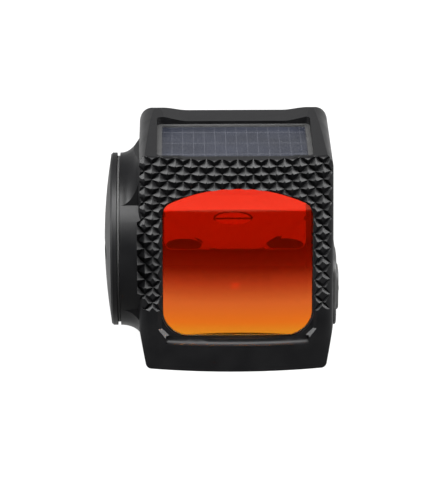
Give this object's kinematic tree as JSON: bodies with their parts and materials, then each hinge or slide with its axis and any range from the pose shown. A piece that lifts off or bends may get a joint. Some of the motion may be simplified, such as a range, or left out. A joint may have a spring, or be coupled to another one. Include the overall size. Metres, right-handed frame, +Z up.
{
  "type": "compact reflex sight",
  "caption": "Small square enclosed reflex sight with a knurled front, red-coated window, roof solar cell, side battery cap, keypad and adjusters.",
  "frame": {"origin": "on the base, midway between the two mounting screws, under the optical axis", "axes": "-Y is the front, where the large coated window looks out; +Y is the rear deck; +Z is up; -X is the battery side and +X the keypad side"},
  "size_m": [0.0329, 0.0434, 0.0311],
  "materials": {
    "anodised_body": "matt black anodised",
    "coated_glass": "red reflective coating",
    "lens_glass": "polished",
    "clear_glass": "polished, anti-reflection coated",
    "black_sealant": "matt",
    "rubber": "matt",
    "solar_silicon": "dark blue-black, fine silver grid",
    "spring_metal": "gold plated",
    "cell_steel": "nickel plated steel",
    "black_plastic": "moulded",
    "board": "solder mask",
    "component_plastic": "moulded packages",
    "flex_film": "polyimide film",
    "led": "clear encapsulation",
    "brass": "machined",
    "steel": "spring and pin steel",
    "blackened_steel": "black oxide"
  },
  "bodies": {
    "root": {"housing": "anodised_body", "bottom_cover": "anodised_body", "front_lens": "coated_glass", "rear_lens": "lens_glass", "rear_window": "clear_glass", "solar_cover_glass": "clear_glass", "lens_gasket": "black_sealant", "rear_window_gasket": "black_sealant", "solar_gasket": "black_sealant", "bottom_cover_gasket": "rubber", "keypad_membrane": "rubber", "solar_cell": "solar_silicon", "negative_contact": "spring_metal", "dome_switches": "spring_metal", "coin_cell": "cell_steel", "battery_insulator": "black_plastic", "keypad_board": "board", "main_board": "board", "board_components": "component_plastic", "keypad_flex": "flex_film", "emitter_flex": "flex_film", "rocker_spring": "steel", "windage_spring": "steel", "cover_screws": "blackened_steel"},
    "cap_seal": {"cap_o_ring": "rubber"},
    "battery_cap": {"battery_cap": "anodised_body", "cap_contact": "spring_metal"},
    "up_button": {"brightness_up_button": "rubber"},
    "down_button": {"brightness_down_button": "rubber"},
    "elevation_screw": {"elevation_screw": "blackened_steel", "elevation_clip": "steel", "elevation_o_ring": "rubber"},
    "elevation_nut": {"elevation_nut": "brass"},
    "windage_screw": {"windage_screw": "blackened_steel", "windage_clip": "steel", "windage_o_ring": "rubber"},
    "windage_carriage": {"windage_carriage": "brass", "rocker_pivot_pin": "steel"},
    "emitter_rocker": {"emitter_rocker": "black_plastic", "emitter_board": "board", "emitter_led": "led"}
  },
  "joints": [
    {"name": "battery_cap_travel", "type": "slide", "parent": "root", "child": "cap_seal", "axis": [-1, 0, 0], "range_m": [0, 0.0018]},
    {"name": "battery_cap_turn", "type": "hinge", "parent": "cap_seal", "child": "battery_cap", "pos_m": [-0.0163, -0.0139, 0.0148], "axis": [-1, 0, 0], "range_deg": [0, 865]},
    {"name": "brightness_up_press", "type": "slide", "parent": "root", "child": "up_button", "axis": [-1, 0, 0], "range_m": [0, 0.0004], "stiffness_N_per_m": 2000, "springref_m": -0.0001},
    {"name": "brightness_down_press", "type": "slide", "parent": "root", "child": "down_button", "axis": [-1, 0, 0], "range_m": [0, 0.0004], "stiffness_N_per_m": 2000, "springref_m": -0.0001},
    {"name": "elevation_travel", "type": "slide", "parent": "root", "child": "elevation_nut", "axis": [0, 0, 1], "range_m": [-0.000174, 0.000174]},
    {"name": "elevation_turn", "type": "hinge", "parent": "root", "child": "elevation_screw", "pos_m": [0, 0.0112, 0.0072], "axis": [0, 0, 1], "range_deg": [-180, 180]},
    {"name": "windage_travel", "type": "slide", "parent": "root", "child": "windage_carriage", "axis": [1, 0, 0], "range_m": [-0.00032, 0.00032], "deforming": ["windage_spring"]},
    {"name": "windage_turn", "type": "hinge", "parent": "root", "child": "windage_screw", "pos_m": [0.012, 0.0063, 0.0044], "axis": [1, 0, 0], "range_deg": [-330, 330]},
    {"name": "rocker_tilt", "type": "hinge", "parent": "windage_carriage", "child": "emitter_rocker", "pos_m": [0, 0.0063, 0.0044], "axis": [1, 0, 0], "range_deg": [-2.2, 2.2], "deforming": ["rocker_spring", "emitter_flex"]}
  ],
  "couplings": [
    {"joint": "battery_cap_turn", "follows": "battery_cap_travel", "rad_per_m": 8377.6},
    {"joint": "elevation_turn", "follows": "elevation_travel", "rad_per_m": -17952},
    {"joint": "rocker_tilt", "follows": "elevation_travel", "rad_per_m": 204.08},
    {"joint": "windage_turn", "follows": "windage_travel", "rad_per_m": -17952}
  ]
}
